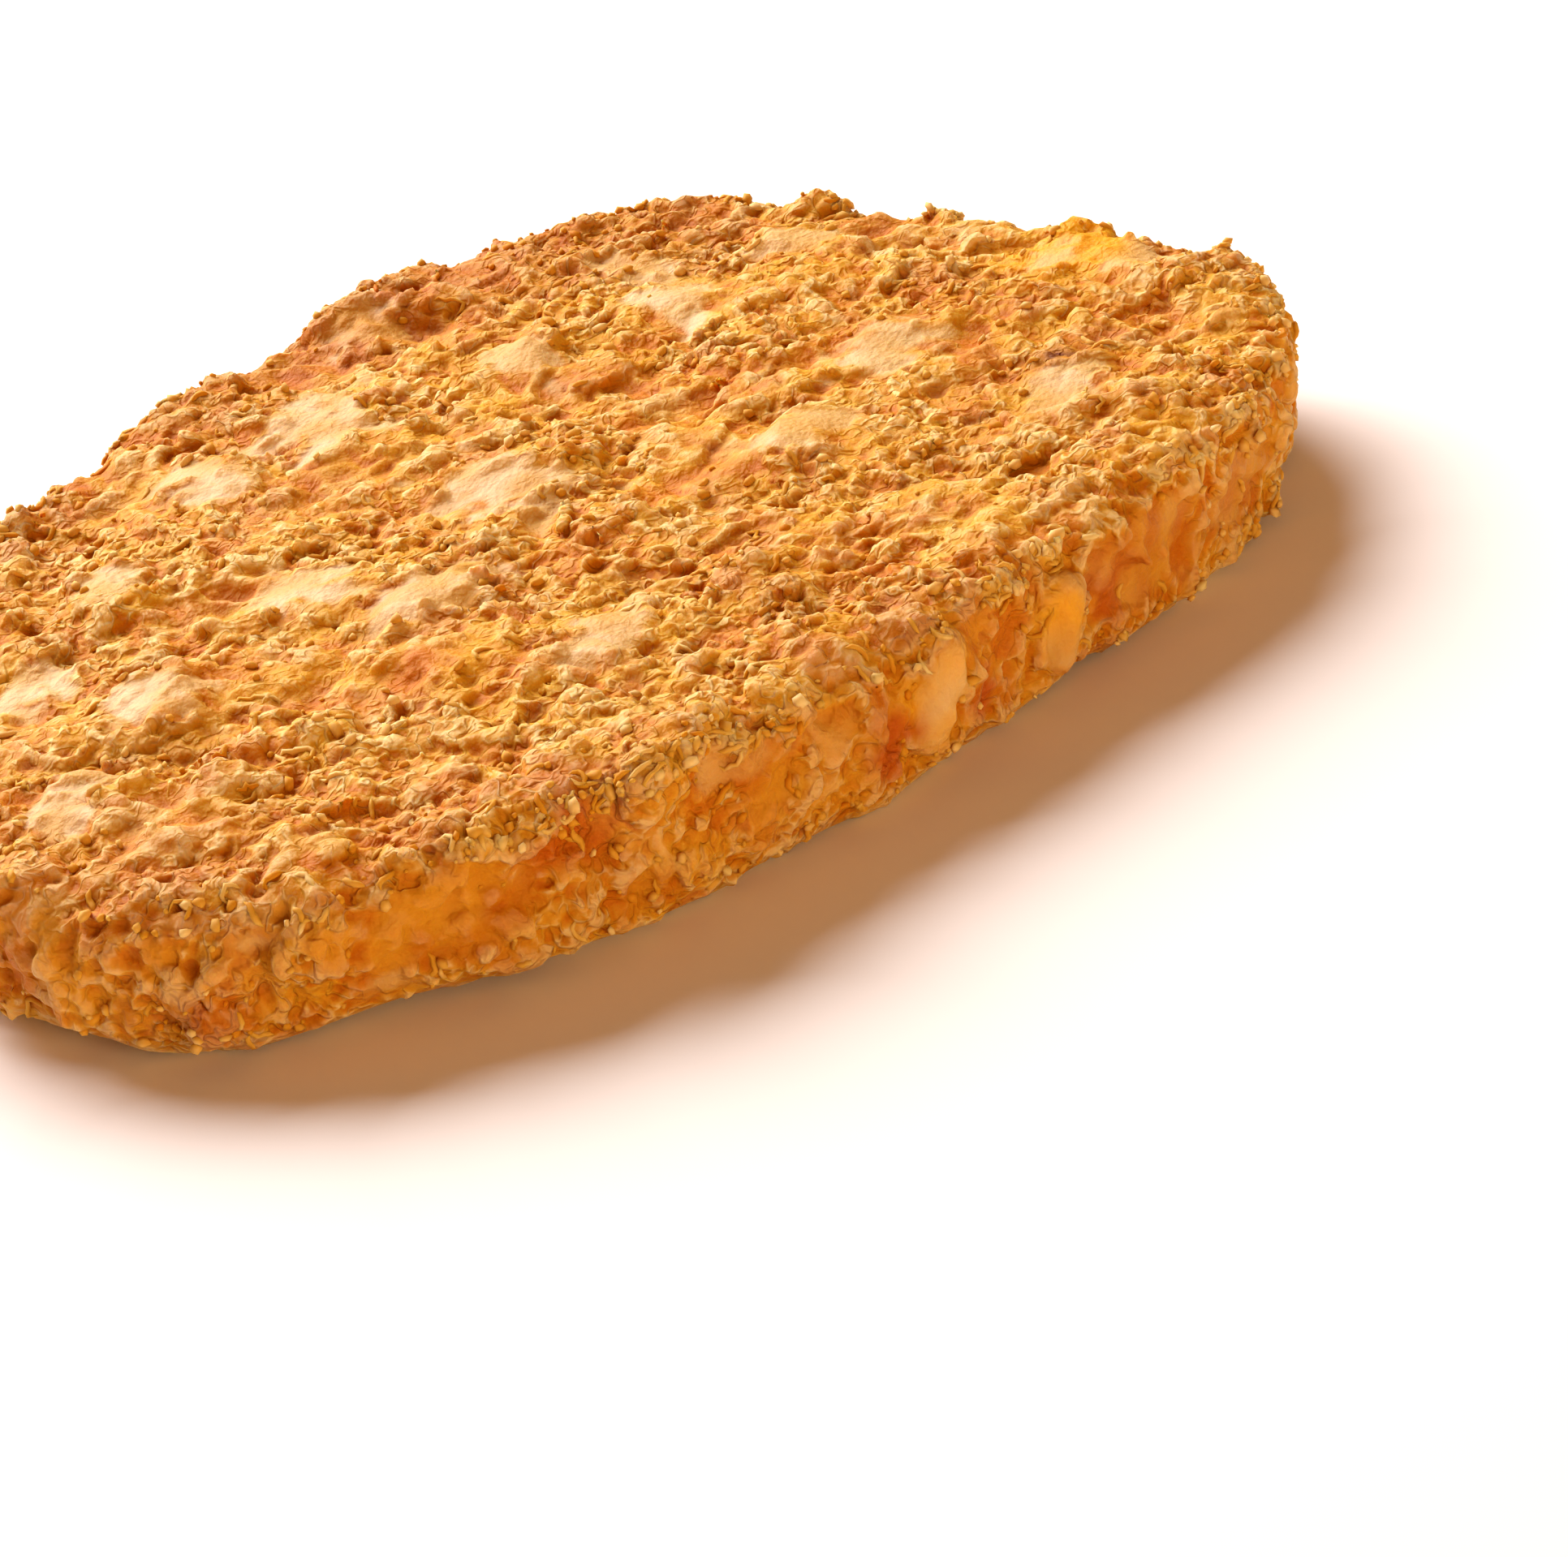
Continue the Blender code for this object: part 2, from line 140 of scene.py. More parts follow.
class Graph:
    """One material's nodes, around its Principled shader."""

    def __init__(self, name):
        self.material = bpy.data.materials.new(name)
        self.material.use_nodes = True
        self.nodes = self.material.node_tree.nodes
        self.shader = self.nodes["Principled BSDF"]

    def add(self, kind, settings=None, inputs=None, output=0):
        """Add a node: its settings first, then a value or a link for each named socket."""
        node = self.nodes.new(kind)
        for name, value in (settings or {}).items():
            if name == "stops":
                self.set_stops(node.color_ramp, value)
            else:
                setattr(node, name, value)
        for name, value in (inputs or {}).items():
            self.feed(node.inputs[name], value)
        return Wire(self, node.outputs[output])

    def feed(self, socket, value):
        """Link a wire to a socket, or set the socket's own value."""
        if isinstance(value, Wire):
            self.material.node_tree.links.new(value.socket, socket)
        else:
            socket.default_value = value

    def set_stops(self, ramp, stops):
        """Give a colour ramp its stops, as (place, colour) pairs."""
        while len(ramp.elements) < len(stops):
            ramp.elements.new(0.5)
        for element, (place, colour) in zip(ramp.elements, stops):
            element.position = place
            element.color = colour

    def point_value(self, name):
        """Return a number stored on the mesh's points."""
        return self.add("ShaderNodeAttribute", {"attribute_name": name}, output="Fac")

    def mix(self, share, first, second):
        """Return two colours mixed by a share."""
        sockets = {0: share, 6: first, 7: second}
        return self.add("ShaderNodeMix", {"data_type": "RGBA"}, sockets, output=2)

    def ramp(self, value, stops):
        """Return the colour at a value along some stops."""
        return self.add("ShaderNodeValToRGB", {"stops": stops}, {0: value})

    def noise(self, place, size, detail=2.0):
        """Return noise whose lumps are about a size in millimetres, from 0 to 1."""
        inputs = {"Vector": place, "Scale": 1.0 / (size * MM), "Detail": detail}
        return self.add("ShaderNodeTexNoise", None, inputs)

    def warped(self, place, size, reach):
        """Return places pushed about by noise, up to about a reach in millimetres."""
        inputs = {"Vector": place, "Scale": 1.0 / (size * MM), "Detail": 0.0}
        push = self.add("ShaderNodeTexNoise", None, inputs, "Color")
        sockets = {0: push, 1: (reach * MM,) * 3, 2: place}
        return self.add("ShaderNodeVectorMath", {"operation": "MULTIPLY_ADD"}, sockets)

    def pits(self, place, size):
        """Return 0 in the middle of round pits and 1 on the thin walls between them."""
        inputs = {"Vector": place, "Scale": 1.0 / (size * MM)}
        return self.add("ShaderNodeTexVoronoi", None, inputs, "Distance").between(0.08, 0.62)

    def ridges(self, place, size):
        """Return 1 along thin lines, about a size in millimetres apart, and 0 between them."""
        wave = self.noise(place, size, 1.0)
        return 1 - (wave - 0.5).math("ABSOLUTE").between(0.0, 0.09)

    def finish(self, colour, roughness, **fixed):
        """Feed the shader, with what is the same all over set on its own sockets."""
        self.feed(self.shader.inputs["Base Color"], colour)
        self.feed(self.shader.inputs["Roughness"], roughness)
        self.feed(self.shader.inputs["Specular IOR Level"], MIRROR_LEVEL)
        self.feed(self.shader.inputs["Specular Tint"], MIRROR_TINT)
        for name, value in fixed.items():
            self.feed(self.shader.inputs[name.replace("_", " ").title()], value)
        return self.material


def srgb(red, green, blue):
    """Return a colour picked on screen, 0 to 255 a channel, as the linear light it stands for."""
    shares = [value / 255 for value in (red, green, blue)]
    linear = [s / 12.92 if s <= 0.04045 else ((s + 0.055) / 1.055) ** 2.4 for s in shares]
    return (*linear, 1.0)


print("mid grey on screen is linear", round(srgb(128, 128, 128)[0], 3))

# %% [markdown]
# ## The ground and the light
# The patty lies on plain white. The light is a wide window behind and above it, so the shadow
# falls towards the viewer and every crumb has a bright back edge. A sun lamp would do the same
# with hard edges, so a wide round area light is used. A warm, weak light from all round and a
# small one in front fill the wall.

# %% Ground and light
FLOOR_SIZE = 3.0  # in metres
FLOOR_DROP = 0.05
FLOOR_WHITE = srgb(248, 242, 241)
SURROUND_COLOUR = (1.0, 0.48, 0.2)
SURROUND_STRENGTH = 0.25
LIGHT_AIM = (0, 0, 5)
# place and width in millimetres, watts, colour
WINDOW = ((270, 740, 660), 950, 25.2, (1.0, 0.985, 0.975))
FRONT = ((-220, -510, 75), 300, 2.1, (1.0, 0.76, 0.42))


def white_floor():
    """Add the floor, a hair below the patty's base."""
    bpy.ops.mesh.primitive_plane_add(size=FLOOR_SIZE, location=(0, 0, -FLOOR_DROP * MM))
    floor = bpy.context.object
    floor.name = "floor"
    graph = Graph("white_floor")
    floor.data.materials.append(graph.finish(FLOOR_WHITE, 0.9))


def soft_light(name, place, size, watts, colour):
    """Add a wide round light at a place in millimetres, facing the patty."""
    light = bpy.data.lights.new(name, "AREA")
    light.shape = "DISK"
    light.size = size * MM
    light.energy = watts
    light.color = colour
    item = bpy.data.objects.new(name, light)
    bpy.context.scene.collection.objects.link(item)
    item.location = Vector(place) * MM
    item.rotation_euler = (Vector(LIGHT_AIM) - Vector(place)).to_track_quat("-Z", "Y").to_euler()


def surround(colour, strength):
    """Light the scene evenly from all round."""
    world = bpy.data.worlds.new("surround")
    bpy.context.scene.world = world
    world.use_nodes = True
    backdrop = world.node_tree.nodes["Background"]
    backdrop.inputs["Color"].default_value = (*colour, 1.0)
    backdrop.inputs["Strength"].default_value = strength


white_floor()
surround(SURROUND_COLOUR, SURROUND_STRENGTH)
soft_light("window", *WINDOW)
soft_light("front", *FRONT)
print("lights placed")

# %% [markdown]
# ## Reading and smoothing a mesh
# The crust is worked out with arrays of numbers, one row a point. Blender's Smooth modifier only
# smooths places, and a loop over the points would be slow. So these few functions read a mesh's
# points, directions and edges into arrays, write points back, and smooth any value over the mesh
# by drawing each point towards its neighbours.

# %% Mesh arrays


def read_points(mesh):
    """Return the mesh's points in millimetres."""
    points = np.empty(len(mesh.vertices) * 3)
    mesh.vertices.foreach_get("co", points)
    return points.reshape(-1, 3) / MM


def write_points(mesh, points):
    """Put points in millimetres back on the mesh."""
    mesh.vertices.foreach_set("co", (points * MM).ravel())
    mesh.update()


def read_normals(mesh):
    """Return the outward direction at each point."""
    normals = np.empty(len(mesh.vertices) * 3)
    mesh.vertex_normals.foreach_get("vector", normals)
    return normals.reshape(-1, 3)


def read_edges(mesh):
    """Return the pairs of points that the mesh's edges join."""
    edges = np.empty(len(mesh.edges) * 2, int)
    mesh.edges.foreach_get("vertices", edges)
    return edges.reshape(-1, 2)


def triangle_count(mesh):
    """Return how many triangles the mesh's faces make."""
    return sum(len(face.vertices) - 2 for face in mesh.polygons)


def smoothed(values, edges, rounds, share=0.6):
    """Return values on points, each drawn towards the mean of its neighbours."""
    values = np.array(values, float).reshape(len(values), -1)
    both = np.concatenate([edges, edges[:, ::-1]])
    count = np.bincount(both[:, 0], minlength=len(values))[:, None]
    for _ in range(rounds):
        sums = [np.bincount(both[:, 0], column[both[:, 1]], len(values)) for column in values.T]
        values = values + share * (np.stack(sums, 1) / count - values)
    return values


def store(mesh, name, values):
    """Keep one number for each point of a mesh."""
    layer = mesh.attributes.new(name, "FLOAT", "POINT")
    layer.data.foreach_set("value", np.asarray(values, np.float32))


def apply_modifiers(item):
    """Make what an object's modifiers show its own mesh."""
    shown = item.evaluated_get(bpy.context.evaluated_depsgraph_get())
    item.data = bpy.data.meshes.new_from_object(shown)
    item.modifiers.clear()


def reskin(item, voxel):
    """Give an object one even skin over all that its mesh holds."""
    modifier = item.modifiers.new("skin", "REMESH")
    modifier.mode = "VOXEL"
    modifier.voxel_size = voxel * MM
    modifier.use_smooth_shade = True
    apply_modifiers(item)


def linked(name, mesh):
    """Return a new object that shows a mesh."""
    item = bpy.data.objects.new(name, mesh)
    bpy.context.scene.collection.objects.link(item)
    return item


print("mesh helpers ready")

# %% [markdown]
# ## The patty under its crust
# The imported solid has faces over 2 mm wide. Subdividing them would round the lumps, but would keep
# the long thin faces too. A voxel remesh gives an even skin of small squares that follows every
# lump, and a few rounds of smoothing take the flat faces away. The shape stays the solid's own.

# %% Body
BODY_VOXEL = 0.6
BODY_ROUNDS = 6

body = linked("body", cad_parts["rosti"].data.copy())
reskin(body, BODY_VOXEL)
write_points(body.data, smoothed(read_points(body.data), read_edges(body.data), BODY_ROUNDS))
body_points = read_points(body.data)
body_normals = read_normals(body.data)
body_faces = [tuple(face.vertices) for face in body.data.polygons]
body_tree = BVHTree.FromPolygons([tuple(point) for point in body_points], body_faces)
print("body points", len(body_points))

# %% [markdown]
# ## What lies where
# Some flakes of potato lie on the surface with no crust over them. They are smooth and pale, and
# crumbs creep over their edges. They could be painted on by hand. Here each is written as an oval
# on the top or the wall, where the solid has it, so that a number moves it.

# %% Flakes
# x, y, length, width, turn in degrees, paleness
TOP_FLAKES = (
    (31.0, 10.0, 8.5, 6.5, 60, 1.0),
    (36.5, 17.0, 9.0, 6.5, 80, 0.5),
    (8.5, 24.0, 13.0, 10.0, 50, 0.7),
    (-1.5, 25.5, 9.0, 6.5, 62, 0.6),
    (-17.0, 20.0, 8.5, 5.5, 30, 0.8),
    (-13.5, 7.0, 9.5, 7.0, 80, 0.8),
    (-12.0, -2.5, 10.5, 6.0, -10, 0.35),
    (3.0, 3.0, 14.0, 10.0, 70, 0.6),
    (20.5, 15.5, 9.0, 5.0, 65, 0.9),
    (29.0, -9.0, 11.5, 7.0, 20, 0.9),
    (15.5, -12.0, 9.5, 6.0, 15, 0.6),
    (45.8, -14.5, 10.5, 7.0, 75, 0.8),
    (-41.0, 2.5, 8.0, 5.5, 40, 0.6),
    (-29.5, 5.5, 8.0, 6.0, 85, 0.7),
    (-14.0, -17.0, 9.0, 6.5, 10, 0.5),
    (25.0, -25.0, 11.0, 6.0, 5, 0.5),
    (22.5, 31.0, 8.0, 5.0, 60, 0.1),
    (-29.2, 16.0, 7.0, 5.5, 60, 0.8),
    (43.0, 8.0, 7.5, 4.5, 100, 0.6),
)
# bearing in degrees, height, length, width, turn in degrees, paleness
WALL_FLAKES = (
    (260.5, 6.8, 8.4, 3.8, 58, 0.6),
    (279.0, 6.2, 6.4, 3.6, 70, 0.4),
    (210.5, 7.0, 12.0, 6.4, 0, 0.0),
    (199.5, 9.9, 5.6, 3.6, 0, 0.3),
    (206.0, 2.8, 4.6, 3.6, 20, 0.35),
    (236.0, 9.6, 6.0, 3.6, 0, 0.25),
    (247.5, 9.2, 5.4, 3.6, 80, 0.2),
    (290.0, 6.8, 11.0, 6.6, 0, 0.1),
    (305.0, 6.0, 9.0, 5.6, 8, 0.2),
    (330.0, 6.0, 8.0, 5.0, -15, 0.3),
)
print("flakes on the top", len(TOP_FLAKES), "and on the wall", len(WALL_FLAKES))

# %% [markdown]
# Noise eats into the ovals' edges. Everything else is crust, and noise says where it is crumbly
# and where it is nearly smooth. It is roughest at the rim and at the wall's foot. Each use of
# noise has its own shift, so that no two patterns fall together.

# %% Noise and ovals

def waves(places, size, shift=0.0):
    """Return smooth noise from -1 to 1 at each place, with lumps of about a size in millimetres."""
    offset = Vector((shift, 2 * shift, -shift))
    return np.array([noise.noise(Vector(place) / size + offset) for place in places])


def smooth_step(values, low, high):
    """Return 0 below low and 1 above high, with a smooth rise between them."""
    share = np.clip((values - low) / (high - low), 0, 1)
    return share * share * (3 - 2 * share)


def oval_reach(east, north, length, width, turn):
    """Return how far each place is from an oval's middle, as a share of the oval's edge."""
    angle = math.radians(turn)
    along = east * math.cos(angle) + north * math.sin(angle)
    across = north * math.cos(angle) - east * math.sin(angle)
    return np.hypot(along / (length / 2), across / (width / 2))


def wall_east(points, bearing):
    """Return how far round the wall each point is from a bearing, in millimetres."""
    turn = np.degrees(np.arctan2(points[:, 1], points[:, 0])) - bearing
    turn = (turn + 180) % 360 - 180
    return np.radians(turn) * np.hypot(points[:, 0], points[:, 1])


print("noise spread", round(float(waves(body_points, 2.8).std()), 2))


# %% Zones
def zones(points, normals):
    """Return what lies at each point, as shares from 0 to 1."""
    at = SimpleNamespace()
    rise = points[:, 2]
    at.wall = smooth_step(1 - np.abs(normals[:, 2]), 0.35, 0.8)
    at.below = smooth_step(-normals[:, 2], 0.3, 0.8)
    upward = smooth_step(normals[:, 2], 0.3, 0.8) * (rise > TOP - 4)
    at.rim = np.exp(-((rise - (TOP - 0.7)) / 1.3) ** 2) * smooth_step(1 - normals[:, 2], 0.05, 0.4)
    at.foot = at.wall * np.exp(-((rise - 1.2) / 1.2) ** 2)
    ragged = 0.8 * waves(points, 2.8, 3.1) + 0.35 * waves(points, 1.1, 7.7)
    at.bare = np.zeros(len(points))
    at.pale = np.zeros(len(points))
    at.smooth = np.zeros(len(points))
    for x, y, length, width, turn, paleness in TOP_FLAKES:
        reach = oval_reach(points[:, 0] - x, points[:, 1] - y, length, width, turn)
        inside = upward * (1 - smooth_step(reach + ragged, 0.62, 1.02))
        at.bare = np.maximum(at.bare, inside)
        at.pale = np.maximum(at.pale, inside * paleness)
    for bearing, rest, length, width, turn, paleness in WALL_FLAKES:
        reach = oval_reach(wall_east(points, bearing), rise - rest, length, width, turn)
        inside = at.wall * (1 - smooth_step(reach + 0.4 * ragged, 0.8, 1.0))
        at.smooth = np.maximum(at.smooth, inside)
        at.bare = np.maximum(at.bare, inside * min(1.0, 2 * paleness))
        at.pale = np.maximum(at.pale, inside * paleness)
    patches = smooth_step(waves(points, 4.5, 80.0), 0.3, 0.45) * (1 - at.rim) * (1 - at.foot)
    at.smooth = np.maximum(at.smooth, 0.85 * at.wall * patches)
    near_side = smooth_step(-points[:, 1] - 0.25 * points[:, 0], 6, 26)
    crumbly = 0.55 + 0.8 * waves(points, 8.5, 110.0) + 0.5 * at.rim + 0.45 * at.foot
    at.crumbly = np.clip(crumbly + 0.2 * near_side, 0.1, 1.0)
    at.cover = (1 - 0.84 * at.bare) * (1 - 0.8 * at.smooth)
    at.crumbly *= at.cover
    at.boldness = 0.48 + 0.6 * np.maximum(at.wall, at.rim)
    return at


body_zones = zones(body_points, body_normals)
print("bare share", round(float(body_zones.bare.mean()), 3))

# %% [markdown]
# ## Crags, curls and strands
# Fried potato builds up in lumps. Particles could scatter them, but those don't reach an exported
# mesh, and each would look stuck on. Here thousands of small solids are laid on the body by
# seeded chance and pushed well in, and a later voxel remesh fuses them all into one skin.

# %% Seeded chance
SEED = 12
rng = random.Random(SEED)


def ball(cuts):
    """Return the corners and faces of a round ball of small triangles."""
    mesh = bmesh.new()
    bmesh.ops.create_icosphere(mesh, subdivisions=cuts, radius=1.0)
    corners = np.array([tuple(vertex.co) for vertex in mesh.verts])
    faces = [tuple(vertex.index for vertex in face.verts) for face in mesh.faces]
    mesh.free()
    return corners, faces


def scatter(density, points, normals):
    """Return a function that draws a point's place, outward direction and index by density."""
    odds = np.cumsum(density) / density.sum()

    def draw(dice):
        index = int(np.searchsorted(odds, dice.random()))
        return Vector(points[index]), Vector(normals[index]), index

    return draw


def any_heading(dice):
    """Return a random direction."""
    return Vector((dice.gauss(0, 1), dice.gauss(0, 1), dice.gauss(0, 0.6)))


crag_density = body_zones.crumbly * (1 - 0.85 * body_zones.below)
crag_density *= 1 + 1.2 * body_zones.rim + 1.5 * body_zones.foot
open_density = body_zones.cover * (1 - body_zones.below) + 0.02
draw_crumbly = scatter(crag_density, body_points, body_normals)
draw_anywhere = scatter(open_density, body_points, body_normals)
print("share of the body that takes crags", round(float((crag_density > 0.3).mean()), 2))

# %% [markdown]
# Two shapes make everything that is laid on: a bumpy flattened ball, and a tube along a trail that
# follows the surface. A trail goes part way round a spot, or walks over the surface and curls.


# %% Lumps and tubes
def lump(round_shape, place, outward, sizes, tilt, bumps, dice):
    """Return a bumpy, flattened ball's corners, lying on the surface with a tilt in degrees."""
    along = any_heading(dice)
    along = (along - outward * along.dot(outward)).normalized()
    lean = Matrix.Rotation(math.radians(dice.gauss(0, tilt)), 3, along)
    up = lean @ outward
    axes = np.array([along, up.cross(along), up])
    offset = Vector([dice.uniform(0, 99) for _ in range(3)])
    swell = np.array([1 + bumps * noise.noise(Vector(corner) * 1.3 + offset) for corner in round_shape])
    return np.array(place) + (round_shape * swell[:, None] * np.array(sizes) / 2) @ axes


def ring(tree, middle, outward, reach, sweep, steps, dice):
    """Return a trail part way round a spot on the surface, over a sweep in degrees."""
    side = outward.orthogonal().normalized()
    other = outward.cross(side)
    start = dice.uniform(0, 2 * math.pi)
    trail = []
    for k in range(steps):
        angle = start + math.radians(sweep) * k / (steps - 1)
        radius = reach * (1 + 0.25 * math.sin(2 * angle + start) + dice.uniform(-0.2, 0.2))
        place = middle + (side * math.cos(angle) + other * math.sin(angle)) * radius
        spot, facing, _, _ = tree.find_nearest(place)
        heading = (other * math.cos(angle) - side * math.sin(angle)).normalized()
        trail.append((spot, (facing + outward).normalized(), heading))
    return trail


def walk(tree, start, heading, steps, stride, curl, dice):
    """Return a trail along a curling walk over the surface."""
    trail = []
    place = start
    for _ in range(steps):
        spot, outward, _, _ = tree.find_nearest(place)
        heading = (heading - outward * heading.dot(outward)).normalized()
        heading = (heading + outward.cross(heading) * dice.gauss(0, curl)).normalized()
        trail.append((spot, outward, heading.copy()))
        place = spot + heading * stride
    return trail


def tube(trail, width, thickness, lift, sides):
    """Return the corners and faces of a closed tube along a trail, sunk in at both ends."""
    corners, faces = [], []
    last = len(trail) - 1
    for k, (spot, outward, heading) in enumerate(trail):
        share = 2 * k / last - 1
        girth = 1 - 0.7 * share ** 4
        centre = spot + outward * (lift * (1 - share * share) - 0.12 * thickness)
        across = outward.cross(heading)
        for i in range(sides):
            angle = 2 * math.pi * (i + 0.5) / sides
            sideways = across * (width / 2 * girth * math.cos(angle))
            corners.append(centre + sideways + outward * (thickness / 2 * girth * math.sin(angle)))
    for k in range(last):
        for i in range(sides):
            j = (i + 1) % sides
            a, b = k * sides, (k + 1) * sides
            faces.append((a + i, a + j, b + j, b + i))
    faces.append(tuple(reversed(range(sides))))
    faces.append(tuple(last * sides + i for i in range(sides)))
    return corners, faces


def joined_mesh(name, parts):
    """Return one mesh made of many small parts, each (corners, faces, stored values)."""
    corners, faces, stored = [], [], {}
    for part_corners, part_faces, values in parts:
        base = len(corners)
        corners += [tuple(corner) for corner in part_corners]
        faces += [tuple(base + i for i in face) for face in part_faces]
        for key, value in values.items():
            stored.setdefault(key, []).extend(np.broadcast_to(value, len(part_corners)))
    corners = np.array(corners)
    corners[:, 2] = np.clip(corners[:, 2], LOWEST, HIGH.z / MM + 0.25)
    mesh = bpy.data.meshes.new(name)
    mesh.from_pydata((corners * MM).tolist(), [], faces)
    mesh.shade_smooth()
    for key, values in stored.items():
        store(mesh, key, values)
    return mesh


print("a crag has", len(ball(2)[1]), "triangles and a crumb", len(ball(1)[1]))

# %% [markdown]
# ## Crags and chips
# Crags are the thick lumps of crust, and chips are its thin broken edges, which lie tilted or
# stand up. Noise on a flat face would give bumps alone. Separate balls, squashed and tilted, also
# give the small overhangs that throw shadows.

# %% Crags and chips
CRAG_COUNT = 2600
CHIP_COUNT = 1600


def crags(draw, count, dice):
    """Return bumpy lumps, from 0.8 to 3.1 mm long."""
    shape, faces = ball(2)
    parts = []
    for _ in range(count):
        place, outward, index = draw(dice)
        length = 0.8 + 2.3 * dice.random() ** 2
        sizes = (length, length * dice.uniform(0.5, 0.9), dice.uniform(0.5, 0.9) * min(length, 1.9))
        proud = dice.uniform(0.15, 0.3 + 0.12 * length) * body_zones.boldness[index]
        centre = place + outward * (proud - sizes[2] / 2 * 0.8)
        parts.append((lump(shape, centre, outward, sizes, 24, 0.8, dice), faces, {}))
    return parts


def chips(draw, count, dice):
    """Return thin chips of crust that stand on edge or lie tilted."""
    shape, faces = ball(2)
    parts = []
    for _ in range(count):
        place, outward, index = draw(dice)
        length = dice.uniform(0.9, 2.2)
        sizes = (length, length * dice.uniform(0.5, 0.9), dice.uniform(0.42, 0.6))
        centre = place + outward * 0.12 * body_zones.boldness[index]
        parts.append((lump(shape, centre, outward, sizes, 40, 1.1, dice), faces, {}))
    return parts


laid_on = crags(draw_crumbly, CRAG_COUNT, rng)
laid_on += chips(draw_crumbly, CHIP_COUNT, rng)
print("crags and chips", len(laid_on))

# %% [markdown]
# ## Curls and strands
# Froth that burst in the hot fat sets as thin arcs, and the patty's own strands of potato show as
# low ridges under the crust. Both could be curves with a bevel, but a plain tube of a few sides
# is quicker to make by the thousand and joins the same mesh.

# %% Curls and strands
CURL_COUNT = 900
CURL_GIRTHS = (0.6, 0.85)
CURL_REACHES = (0.6, 1.25)
THIN_CURL_COUNT = 2800
THIN_CURL_GIRTHS = (0.42, 0.6)
THIN_CURL_REACHES = (0.4, 0.95)
STRAND_COUNT = 110


def curls(draw, count, girths, reaches, dice):
    """Return arcs of set froth, with girths and radii between two sizes."""
    parts = []
    for _ in range(count):
        place, outward, index = draw(dice)
        trail = ring(body_tree, place, outward, dice.uniform(*reaches), dice.uniform(60, 210), 8, dice)
        girth = dice.uniform(*girths)
        lift = dice.uniform(0.1, 0.45) * body_zones.boldness[index]
        parts.append((*tube(trail, girth, girth, lift, 6), {}))
    return parts


def strands(draw, count, dice):
    """Return shredded potato strands that lie along the surface, well sunk in."""
    parts = []
    for _ in range(count):
        place, _, _ = draw(dice)
        steps = dice.randrange(6, 12)
        trail = walk(body_tree, place, any_heading(dice), steps, 1.1, 0.12, dice)
        parts.append((*tube(trail, dice.uniform(1.8, 2.7), 1.2, dice.uniform(-0.2, 0.15), 8), {}))
    return parts


laid_on += curls(draw_crumbly, CURL_COUNT, CURL_GIRTHS, CURL_REACHES, rng)
laid_on += curls(draw_crumbly, THIN_CURL_COUNT, THIN_CURL_GIRTHS, THIN_CURL_REACHES, rng)
laid_on += strands(draw_anywhere, STRAND_COUNT, rng)
print("with curls and strands", len(laid_on))

# %% [markdown]
# ## Plump shreds on the wall
# A few thick shreds stand out of the wall with their pale sides bare. A tube would taper at both
# ends, and a shred's cut ends are blunt. So each is a ball squared off along its length, laid on
# the wall where its flake is.

# %% Plump shreds
PLUMP_PALENESS = 0.4  # a wall flake at least this pale is a plump shred
PLUMP_DEPTH = 2.6
PLUMP_RISE = 0.35


def wall_place(bearing, rise):
    """Return the spot on the wall at a bearing and a height, and its outward direction."""
    angle = math.radians(bearing)
    start = Vector((100 * math.cos(angle), 100 * math.sin(angle), rise))
    spot, outward, _, _ = body_tree.ray_cast(start, Vector((-math.cos(angle), -math.sin(angle), 0)))
    return spot, outward


def wall_shreds():
    """Return the plump shreds that stand out of the wall."""
    shape, faces = ball(3)
    parts = []
    for bearing, rise, length, width, turn, paleness in WALL_FLAKES:
        if paleness >= PLUMP_PALENESS:
            spot, outward = wall_place(bearing, rise)
            level = Vector((-outward.y, outward.x, 0)).normalized()
            along = level * math.cos(math.radians(turn)) + Vector((0, 0, math.sin(math.radians(turn))))
            axes = np.array([along, outward.cross(along), outward])
            squared = np.sign(shape) * np.abs(shape) ** np.array([0.6, 0.9, 0.9])
            swell = 1 + 0.12 * np.array([noise.noise(Vector(corner) * 1.5) for corner in shape])
            middle = np.array(spot + outward * PLUMP_RISE)
            sizes = np.array([length, width, PLUMP_DEPTH]) / 2
            parts.append((middle + (squared * swell[:, None] * sizes) @ axes, faces, {}))
    return parts


laid_on += wall_shreds()
laid_on.append((body_points, body_faces, {}))
rosti = linked("rosti_crust", joined_mesh("rosti_crust", laid_on))
bpy.data.objects.remove(body)
print("pieces laid on", len(laid_on))

# %% [markdown]
# ## One skin
# Joining the pieces with Booleans would take minutes, and one bad piece would stop it. A voxel
# remesh turns the whole heap into one closed skin at once. The underside lies on the ground, so
# most of its squares are merged to save faces for the top and the wall.

# %% Skin
SKIN_VOXEL = 0.31
UNDER_SHARE = 0.05
UNDER_RISE = 1.8


def decimated(item, share, group=""):
    """Merge an object's faces, where they bend least, down to a share of them."""
    modifier = item.modifiers.new("thin", "DECIMATE")
    modifier.vertex_group = group
    modifier.ratio = share
    apply_modifiers(item)
    item.vertex_groups.clear()


def thin_below(item, share):
    """Thin out the underside's faces to a share of them."""
    places, facing = read_points(item.data), read_normals(item.data)
    under = np.flatnonzero((facing[:, 2] < -0.5) & (places[:, 2] < UNDER_RISE))
    group = item.vertex_groups.new(name="under")
    group.add(under.tolist(), 1.0, "REPLACE")
    decimated(item, 1 - (1 - share) * len(under) / len(places), "under")


